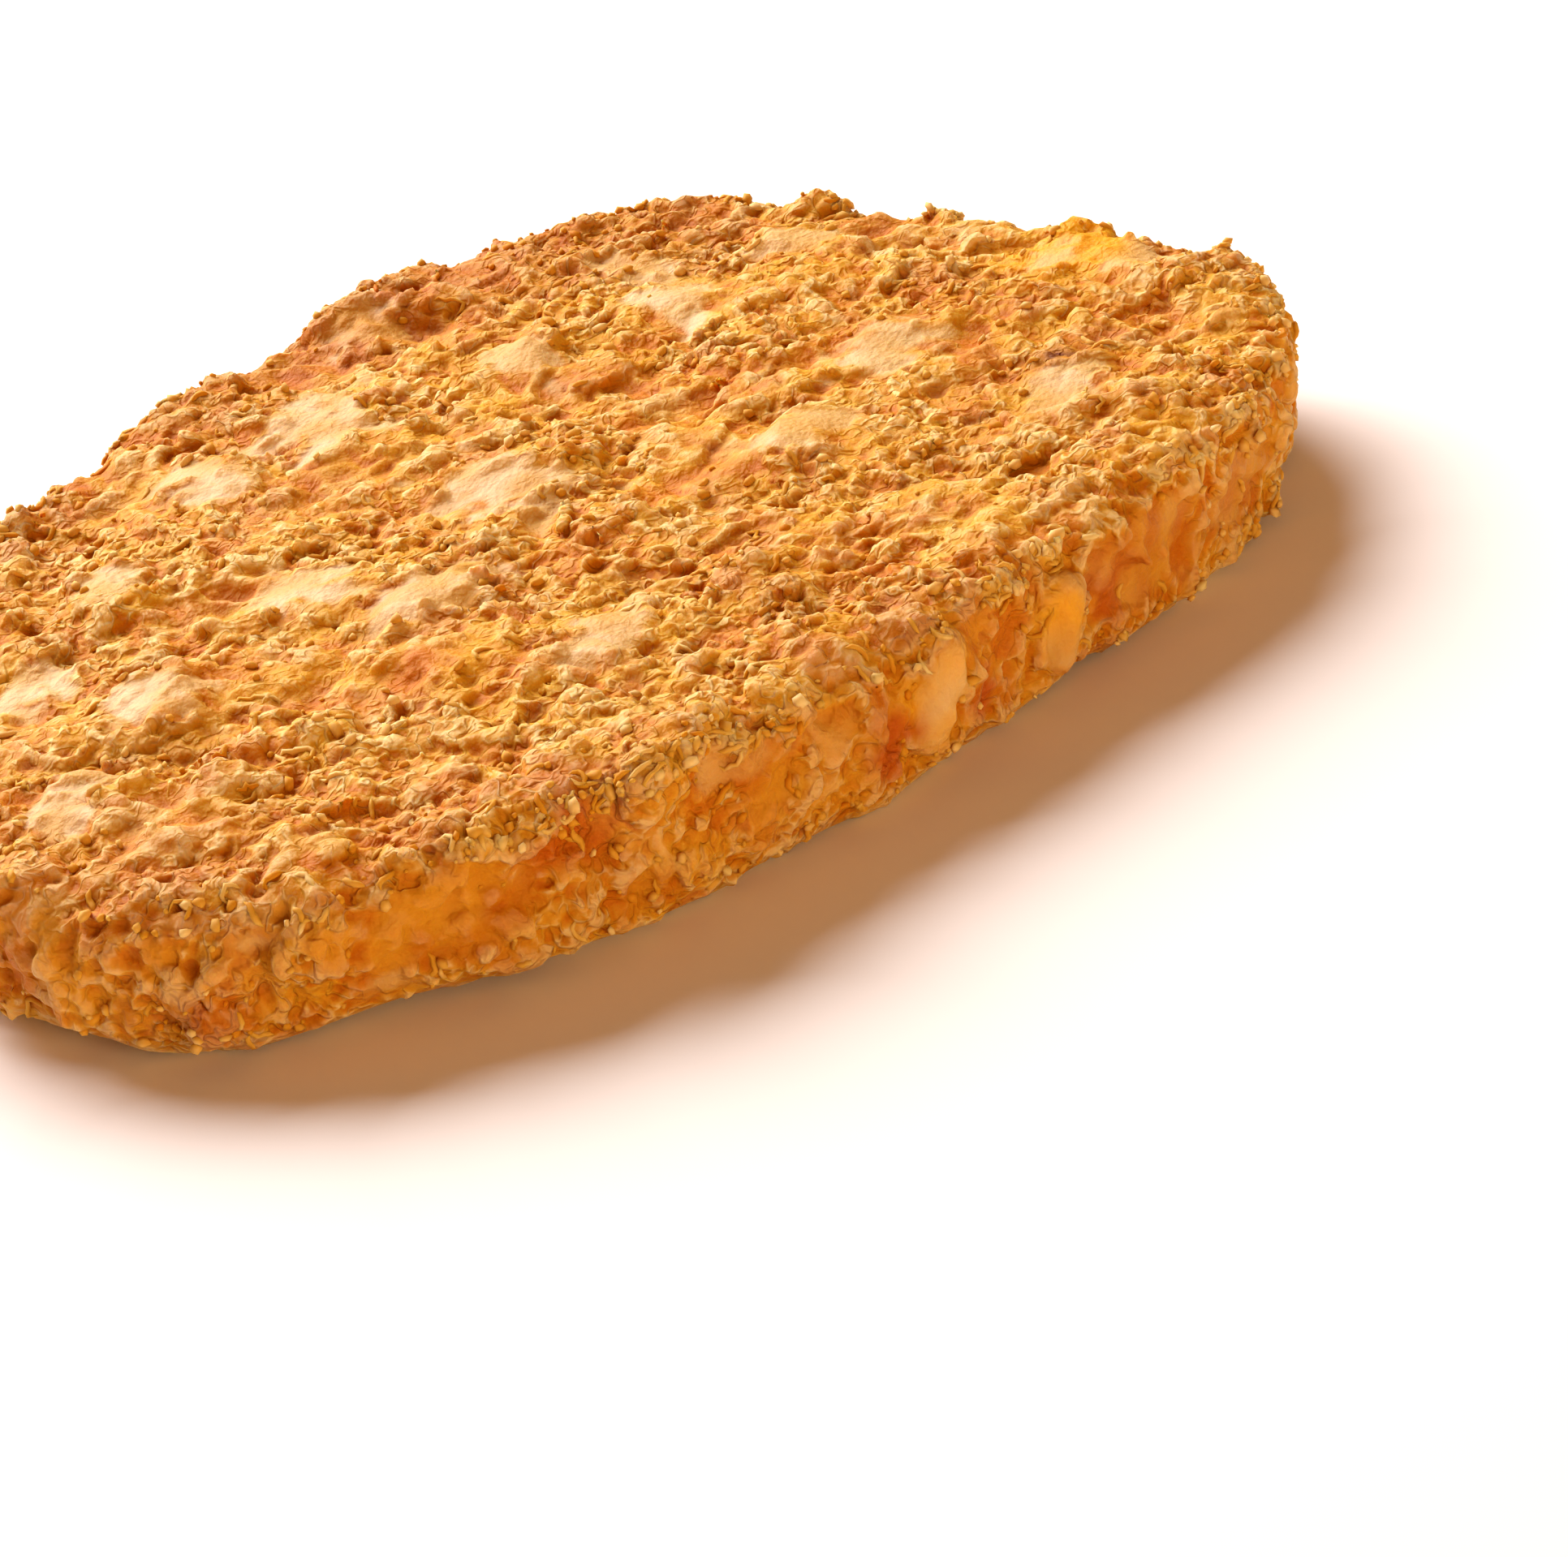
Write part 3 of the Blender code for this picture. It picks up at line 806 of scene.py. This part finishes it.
def over_body(points):
    """Return the body's own place under each point, and its outward direction there."""
    hits = [body_tree.find_nearest(Vector(point)) for point in points]
    places = np.array([hit[0] for hit in hits])
    return places, body_normals[[body_faces[hit[2]][0] for hit in hits]]


def read_skin(mesh, edges):
    """Return a skin's points and directions, the body's under them, and what lies where."""
    points = read_points(mesh)
    under, facing = over_body(points)
    facing = smoothed(facing, edges, 4)
    facing /= np.linalg.norm(facing, axis=1)[:, None]
    return points, read_normals(mesh), under, facing, zones(points, facing)


reskin(rosti, SKIN_VOXEL)
print("skin before thinning", triangle_count(rosti.data), "triangles")
thin_below(rosti, UNDER_SHARE)
edges = read_edges(rosti.data)
write_points(rosti.data, smoothed(read_points(rosti.data), edges, 1, 0.4))
points, normals, _, _, at = read_skin(rosti.data, edges)
print("skin points", len(points))

# %% [markdown]
# ## The crust's finer relief
# Under a lens the crust is a froth that set hard: folds with thin crests, small pits with raised
# rims, and grains between them. A material's displacement could raise them, but it is lost in an
# exported mesh, so the points themselves are moved. Ridged noise makes the folds. Voronoi noise,
# which cuts space into cells, makes the plates and the froth.


# %% Cells and crests
def nearest_cells(places, size, squeeze=(1.0, 1.0, 1.0), shift=0.0):
    """Return the distances to the two nearest cell middles, the nearest middle and the place."""
    scaled = places * np.array(squeeze) / size + shift
    first, second, middles = [], [], []
    for place in scaled:
        distances, centres = noise.voronoi(Vector(place))
        first.append(distances[0])
        second.append(distances[1])
        middles.append(centres[0])
    return np.array(first), np.array(second), np.array(middles), scaled


def chance(middles, salt):
    """Return a number from 0 to 1 for each cell, always the same for the same cell."""
    mixed = np.sin(middles @ np.array([12.9898, 78.233, 37.719]) + salt) * 43758.5453
    return mixed - np.floor(mixed)


def plates(places, size, squeeze, shift):
    """Return the height of small tilted plates, from about -1 to 1."""
    _, _, middles, scaled = nearest_cells(places, size, squeeze, shift)
    tilt = np.stack([chance(middles, salt) - 0.5 for salt in (1.0, 2.0, 3.0)], 1)
    return 1.1 * (chance(middles, 4.0) - 0.5) + 2.4 * np.sum((scaled - middles) * tilt, 1)


def crests(places, size, shift):
    """Return folds from 0 to 1 with thin crests, as ridged noise."""
    return np.clip(1 - 2.6 * np.abs(waves(places, size, shift)), 0, 1) ** 1.6


print("mean crest", round(float(crests(body_points, 5.5, 3.0).mean()), 2))

# %% [markdown]
# Places are bent by noise first, so that the folds curl. On the wall everything is drawn out
# upwards. Each froth cell is a pit or a grain by chance, and its border is the rim. Each height is
# in millimetres, along the outward direction.

# %% Relief
FOLD_SIZE = 5.5
FOLD_HEIGHT = 0.6
PLATE_SIZE = 3.4
PLATE_STEP = 0.3
FROTH_CELL = 1.6
RIM_HEIGHT = 0.27
PIT_DEPTH = 0.34
PIT_SHARE = 0.55
GRAIN_HEIGHT = 0.22
FINE_HEIGHT = 0.22
SEAM_SIZE = 2.2
SEAM_HEIGHT = 0.3
HIGHEST = 13.5

warp = np.stack([waves(points, 4.5, 20.0 + 5 * axis) for axis in range(3)], 1)
fine_warp = np.stack([waves(points, 1.6, 40.0 + 5 * axis) for axis in range(3)], 1)
curled = points + 2.2 * warp + 0.5 * fine_warp

fold = 0.65 * crests(curled, FOLD_SIZE, 3.0) + 0.35 * crests(curled, FOLD_SIZE / 2.1, 13.0)
upright_fold = crests(curled * np.array([1.0, 1.0, 0.3]), FOLD_SIZE * 0.7, 23.0)
seams = crests(curled * np.array([1.0, 1.0, 0.25]), SEAM_SIZE, 33.0)
fold = (1 - at.wall) * fold + at.wall * upright_fold

flat_plates = plates(curled, PLATE_SIZE, (0.6, 1.1, 1.0), 5.0)
upright_plates = plates(curled, PLATE_SIZE, (1.1, 1.1, 0.34), 17.0)
plate = (1 - at.wall) * flat_plates + at.wall * upright_plates

first, second, middles, _ = nearest_cells(points + 0.55 * fine_warp, FROTH_CELL, shift=31.0)
border = np.exp(-((second - first) / 0.22) ** 2)
is_pit = chance(middles, 9.0) < PIT_SHARE
bowl = smooth_step(1 - first / 0.6, 0, 0.9)
froth = RIM_HEIGHT * border + np.where(is_pit, -PIT_DEPTH, GRAIN_HEIGHT) * bowl
fine = 0.5 - 2 * np.abs(waves(points, 1.5, 70.0))

height = (0.3 + 0.7 * at.cover) * FOLD_HEIGHT * (fold - 0.3) + at.cover * PLATE_STEP * plate
height += at.crumbly * (froth + FINE_HEIGHT * fine) + SEAM_HEIGHT * at.smooth * (seams - 0.3)
height *= 1 - 0.8 * at.below
height = smoothed(height, edges, 1, 0.3)[:, 0]
raised = points + normals * height[:, None]
raised[:, 2] = np.clip(raised[:, 2], LOWEST, HIGHEST)
write_points(rosti.data, raised)
print("relief from", round(float(height.min()), 2), "to", round(float(height.max()), 2), "mm")

# %% [markdown]
# ## Fewer faces
# The relief needed small squares everywhere, but the finished skin doesn't. It could be remeshed
# with larger ones, which would blunt it. Decimate merges faces where the skin is flattest, so the
# crisp edges keep theirs.

# %% Thinned skin
SKIN_TRIANGLES = 198000

triangles = triangle_count(rosti.data)
decimated(rosti, min(1.0, SKIN_TRIANGLES / triangles))
rosti.data.shade_smooth()
edges = read_edges(rosti.data)
points, normals, under_crust, facing, at = read_skin(rosti.data, edges)
print("skin triangles", triangles, "thinned to", triangle_count(rosti.data))

# %% [markdown]
# ## What the paint needs to know
# Painted shade darkens the crust's pits and a painted highlight pales its crisp edges, both in
# the colour itself. A Pointiness node finds edges of one width alone, so each point's tone is
# worked out here, from how far it stands above the skin round it. Every shred of potato browned
# in its own way too: bent Voronoi cells give each shred its own tone and hue.

# %% Tone
SHRED_SIZE = 2.3
SHRED_BEND = 1.4

around = smoothed(points, edges, 18)
standing = np.sum((points - around) * normals, 1)
crisp = np.sum((points - smoothed(points, edges, 3)) * normals, 1)
above_body = np.sum((points - under_crust) * facing, 1)
# faces of the top that tilt from the body's own direction get painted shade
slope = np.clip(1 - np.sum(normals * facing, 1), 0, 1)
# painted shade on the wall just under the rim
shade_under_rim = at.wall * np.exp(-((points[:, 2] - (TOP - 2.7)) / 1.1) ** 2)

bend = np.stack([waves(points, 2.7, 140.0 + 5 * axis) for axis in range(3)], 1)
shred_middles = nearest_cells(points + SHRED_BEND * bend, SHRED_SIZE, shift=51.0)[2]
shred_tone = smoothed(chance(shred_middles, 1.0), edges, 1)[:, 0]
shred_hue = smoothed(chance(shred_middles, 2.0), edges, 1)[:, 0]
patch = waves(points, 2.8, 50.0)
streaks = waves(points * np.array([1.0, 1.0, 0.35]), 1.9, 55.0)

# painted highlight where it stands out, painted shade in hollows, under the rim and on slopes; paler at
# rim and foot
tone = 0.5 + (0.45 * standing + 2.2 * crisp) * (1 + 0.8 * at.wall) + 0.2 * (above_body - 0.2)
tone += 0.2 * at.rim + 0.12 * at.foot - 0.2 * shade_under_rim - 0.15 * slope * (1 - at.wall)
tone += (0.42 + 0.2 * at.wall) * (shred_tone - 0.5) + 0.13 * patch + 0.4 * streaks * at.wall
tone = np.clip(tone, 0, 1)
print("tone", round(float(tone.mean()), 2), "standing spread", round(float(standing.std()), 3), "mm")

# %% [markdown]
# ## A share of each colour
# The crust's own colour isn't the only one. The far side and the outer edge browned more, the
# smooth parts of the wall are clear amber, a thin share of amber over the whole wall is partly
# the wall's own amber and partly painted shade on the side turned from the light, and the bare
# flakes are potato. One texture painted by hand would need an unwrapped mesh. Here each point
# stores its share of each colour instead.

# %% Colour shares
far_side = smooth_step(points[:, 0] * 0.35 + points[:, 1], 18, 40)
outer = smooth_step(oval_reach(points[:, 0], points[:, 1], 104.0, 77.0, 0), 0.72, 1.0) * (1 - at.wall)
browned = 0.5 * waves(points, 13.0, 90.0) + 0.4 * waves(points, 4.0, 95.0) + 0.4 * far_side + 0.3 * outer
browned = np.clip(browned, 0, 1)
# amber on the smooth parts of the wall is their own; the thin share over the whole wall is partly
# painted shade
amber = 0.25 * at.wall * (1 - at.smooth) + 0.7 * at.smooth
potato = at.bare * (0.7 + 0.25 * at.wall)
stored_values = {
    "tone": tone,
    "crumbly": at.crumbly,
    "sheen": 0.22 * at.bare * smooth_step(patch, -0.3, 0.3),
    "tan": 0.3 * smooth_step(patch, 0.05, 0.4),
    "yellow": 0.5 * smooth_step(shred_hue, 0.56, 0.78),
    "orange": 0.5 * (1 - smooth_step(shred_hue, 0.14, 0.32)),
    "brown": 0.6 * browned,
    "amber": amber,
    "clear_amber": amber * smooth_step(0.6 * streaks + 0.4 * patch, -0.2, 0.25),
    "potato": potato,
    "pale_potato": potato * np.clip(at.pale + 0.5 * patch, 0, 1),
    # painted shade between the shreds of the wall, laid by the wall marks
    "rust": np.zeros(len(points)),
    "golden": np.zeros(len(points)),
    "burnt": np.zeros(len(points)),
}
print("mean shares", {name: round(float(values.mean()), 2) for name, values in stored_values.items()})

# %% [markdown]
# A few spots stand out: browner and more orange ones, one burnt speck, a yellow corner and the
# rust coloured shade between the shreds of the wall. Each lays more of one colour round a
# spot, and noise makes its edge ragged.

# %% Colour marks
# x, y, width, colour, strength
TOP_MARKS = (
    (22.5, 31.0, 9.0, "brown", 0.5),
    (-30.0, 27.0, 14.0, "brown", 0.35),
    (49.0, 6.0, 9.0, "brown", 0.3),
    (10.0, 12.0, 5.0, "brown", 0.3),
    (30.0, -22.0, 8.0, "brown", 0.45),
    (30.0, -22.0, 2.6, "burnt", 1.3),
    (4.5, -6.5, 4.5, "orange", 0.5),
    (-21.0, -9.0, 6.0, "orange", 0.4),
    (46.5, -13.0, 13.0, "golden", 1.0),
)
# bearing, height, width, colour, strength
WALL_MARKS = (
    # the rust coloured marks are painted shade between and round the wall's shreds
    (221.0, 9.6, 7.5, "rust", 0.8),
    (196.0, 4.4, 6.0, "rust", 0.5),
    (181.0, 7.0, 4.5, "rust", 0.6),
    (254.0, 5.0, 5.0, "rust", 0.9),
    (267.0, 5.0, 5.5, "rust", 0.9),
    (287.0, 6.0, 5.5, "rust", 0.7),
    (260.5, 6.8, 7.0, "golden", 0.6),
    (279.0, 6.2, 6.0, "golden", 0.9),
)


def mark(spot, width, colour, strength):
    """Lay more of one colour round a spot on the skin, with a ragged edge."""
    reach = np.linalg.norm(points - np.array(spot), axis=1) / (width / 2)
    inside = 1 - smooth_step(reach + 0.6 * waves(points, 0.35 * width, 15.0), 0.3, 1.1)
    stored_values[colour] = np.clip(stored_values[colour] + strength * inside, 0, 1)


for x, y, *what in TOP_MARKS:
    mark(body_tree.ray_cast(Vector((x, y, 2 * TOP)), Vector((0, 0, -1)))[0], *what)
for bearing, rise, *what in WALL_MARKS:
    mark(wall_place(bearing, rise)[0], *what)
for name, values in stored_values.items():
    store(rosti.data, name, values)
print("marks", len(TOP_MARKS) + len(WALL_MARKS), "stored values", len(stored_values))

# %% [markdown]
# ## Fried crust
# One ramp follows the tone: rust gold in the pits, gold on the slopes and cream on the crisp
# edges, so its dark end is partly painted shade and its pale end partly a painted highlight. The
# stored shares then lay the other colours over it. What is finer than the mesh, the froth, the
# crisp lines and the grain, could be more points, but noise in the material costs less. It goes
# into the colour and a bump; in the colour the froth's pits are painted shade and the crisp lines
# a painted highlight. Light scatters under the surface, as in real potato.

# %% Crust colours
# the dark end stands partly for painted shade in pits, the cream end partly for a painted highlight
DARK_SHRED_AND_PIT_SHADE = srgb(194, 106, 6)
DEEP_GOLD = srgb(200, 122, 14)
GOLD = srgb(205, 138, 30)
PALE_GOLD = srgb(211, 155, 60)
PALE_SHRED_AND_EDGE_HIGHLIGHT = srgb(230, 192, 124)
CRUST_STOPS = ((0.08, DARK_SHRED_AND_PIT_SHADE), (0.3, DEEP_GOLD), (0.5, GOLD), (0.7, PALE_GOLD), (0.92, PALE_SHRED_AND_EDGE_HIGHLIGHT))
# laid over the crust's own colour in this order
COLOURS = {
    "tan": srgb(204, 144, 82),
    "yellow": srgb(222, 160, 34),
    "orange": srgb(200, 110, 12),
    "brown": srgb(168, 82, 10),
    # the wall's own amber, and partly painted shade over the whole wall
    "amber": srgb(180, 90, 2),
    "clear_amber": srgb(210, 142, 28),
    "potato": srgb(204, 148, 60),
    "pale_potato": srgb(220, 184, 128),
    # rust coloured painted shade between the wall's shreds
    "rust": srgb(176, 72, 0),
    "golden": srgb(228, 156, 22),
    "burnt": srgb(104, 42, 12),
}
print("colours", len(CRUST_STOPS) + len(COLOURS))

# %% Crust material
BEND_SIZE = 1.5
BEND_REACH = 1.3
BUBBLE_SIZE = 0.95
RIDGE_SIZE = 1.3
GRAIN_SIZE = 0.5
CRUST_ROUGHNESS = 0.6
BUMP_DEPTH = 0.3
LIGHT_REACH = 1.0  # how far light spreads under the crust, in millimetres
LIGHT_SHARES = (1.0, 0.6, 0.25)  # red light spreads furthest


def crust_material():
    """Return the rosti's own material."""
    graph = Graph("crust")
    place = graph.add("ShaderNodeTexCoord", output="Object")
    bent = graph.warped(place, BEND_SIZE, BEND_REACH)
    froth = graph.pits(bent, BUBBLE_SIZE)
    ridge = graph.ridges(bent, RIDGE_SIZE)
    grain = graph.noise(place, GRAIN_SIZE)
    crumbly = graph.point_value("crumbly")
    tone = graph.point_value("tone") + (grain - 0.5) * 0.15
    # the froth's pits darken as painted shade and the crisp lines pale as a painted highlight
    tone = tone + ((froth - 0.7) * 0.3 + (ridge - 0.3) * 0.42) * crumbly
    colour = graph.ramp(tone, CRUST_STOPS)
    for name, shade in COLOURS.items():
        colour = graph.mix(graph.point_value(name), colour, shade)
    height = grain * 0.8 + (froth * 0.5 + ridge * 0.8) * crumbly
    relief = {"Strength": 0.9, "Distance": BUMP_DEPTH * MM, "Height": height}
    bump = graph.add("ShaderNodeBump", None, relief)
    return graph.finish(colour, CRUST_ROUGHNESS, normal=bump, coat_weight=graph.point_value("sheen"),
                        coat_roughness=0.35, subsurface_weight=0.5,
                        subsurface_radius=LIGHT_SHARES, subsurface_scale=LIGHT_REACH * MM)


def belongs(item, material):
    """Give an object its material and make it part of the rosti."""
    item.data.materials.clear()
    item.data.materials.append(material)
    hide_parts("rosti")
    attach(item, "root")


belongs(rosti, crust_material())
print("crust painted")

# %% [markdown]
# ## Crisp curls and threads
# The crispest parts of the rim and of the wall's foot are too thin for the skin's squares: burst
# rims of bubbles and threads of set froth. Finer squares all over would cost a million faces. So
# each is a small solid of its own, sunk about half way in, with the tone of the skin round it and
# paler the further it stands out, a painted highlight.

# %% Crisp pieces
skin_faces = [tuple(face.vertices) for face in rosti.data.polygons]
skin_tree = BVHTree.FromPolygons([tuple(point) for point in points], skin_faces)
edge_zone = np.clip(at.rim + at.foot, 0, 1)
loose_density = at.crumbly * (1 - 0.9 * at.below)
draw_on_edge = scatter(loose_density * (0.1 + edge_zone), points, normals)


def tone_at(index, dice):
    """Return how pale a crumb is, from 0 to 1, near the skin's own tone at a point."""
    # near the skin's tone with its painted shade and highlight, browner where the crust browned, darker
    # on the wall as painted shade
    shade = 0.42 + 0.4 * tone[index] - 0.25 * browned[index] - 0.1 * at.wall[index]
    return shade + dice.gauss(0, 0.07)


def toned_and_highlit(corners, faces, place, outward, index, dice):
    """Return a piece with a tone for each corner, paler the further out it stands, a painted highlight.
    """
    lift = (np.array([tuple(corner) for corner in corners]) - np.array(place)) @ np.array(outward)
    return corners, faces, {"tone": np.clip(tone_at(index, dice) + 0.3 * lift, 0, 1)}


def crumb_material():
    """Return the crisp pieces' material."""
    graph = Graph("crumb")
    place = graph.add("ShaderNodeTexCoord", output="Object")
    shade = graph.point_value("tone") + (graph.noise(place, 0.9) - 0.5) * 0.3
    return graph.finish(graph.ramp(shade, CRUST_STOPS), CRUST_ROUGHNESS, subsurface_weight=0.3,
                        subsurface_radius=LIGHT_SHARES, subsurface_scale=0.7 * LIGHT_REACH * MM)


def add_pieces(name, parts):
    """Add one object made of many crisp pieces."""
    item = linked(name, joined_mesh(name, parts))
    belongs(item, crumb)
    print(name, len(parts), "pieces,", triangle_count(item.data), "triangles")


crumb = crumb_material()
print("share of the skin at an edge", round(float((edge_zone > 0.5).mean()), 2))

# %% Curls and threads
CURL_PIECES = 220
THREAD_PIECES = 400


def crisp_curls(draw, count, dice):
    """Return arcs, thin for their size."""
    parts = []
    for _ in range(count):
        place, outward, index = draw(dice)
        reach = dice.uniform(0.5, 1.2)
        trail = ring(skin_tree, place, outward, reach, dice.uniform(60, 190), 8, dice)
        width = dice.uniform(0.3, 0.44)
        thickness = dice.uniform(0.36, 0.6)
        corners, faces = tube(trail, width, thickness, dice.uniform(0, 0.16), 5)
        parts.append(toned_and_highlit(corners, faces, place, outward, index, dice))
    return parts


def crisp_threads(draw, count, dice):
    """Return short crisp threads."""
    parts = []
    for _ in range(count):
        place, outward, index = draw(dice)
        trail = walk(skin_tree, place, any_heading(dice), 6, dice.uniform(0.25, 0.45), 0.5, dice)
        corners, faces = tube(trail, dice.uniform(0.32, 0.5), 0.45, dice.uniform(0, 0.16), 5)
        parts.append(toned_and_highlit(corners, faces, place, outward, index, dice))
    return parts


add_pieces("crisp_curls", crisp_curls(draw_on_edge, CURL_PIECES, rng))
add_pieces("crisp_threads", crisp_threads(draw_on_edge, THREAD_PIECES, rng))

# %% [markdown]
# ## Crumbs
# Loose grains of crust cling along the rim and the foot of the wall. They are too small to need
# more than a ball of 20 triangles. Each is bumpy and flattened, and sunk about half way in.

# %% Crumbs
CRUMB_PIECES = 1800


def crumbs(draw, count, dice):
    """Return small round grains."""
    shape, faces = ball(1)
    parts = []
    for _ in range(count):
        place, outward, index = draw(dice)
        size = 0.3 + 0.6 * dice.random() ** 2
        sizes = (size * dice.uniform(1.0, 1.5), size, size * dice.uniform(0.6, 1.0))
        corners = lump(shape, place + outward * size * 0.08, outward, sizes, 40, 0.7, dice)
        parts.append(toned_and_highlit(corners, faces, place, outward, index, dice))
    return parts


add_pieces("crumbs", crumbs(draw_on_edge, CRUMB_PIECES, rng))
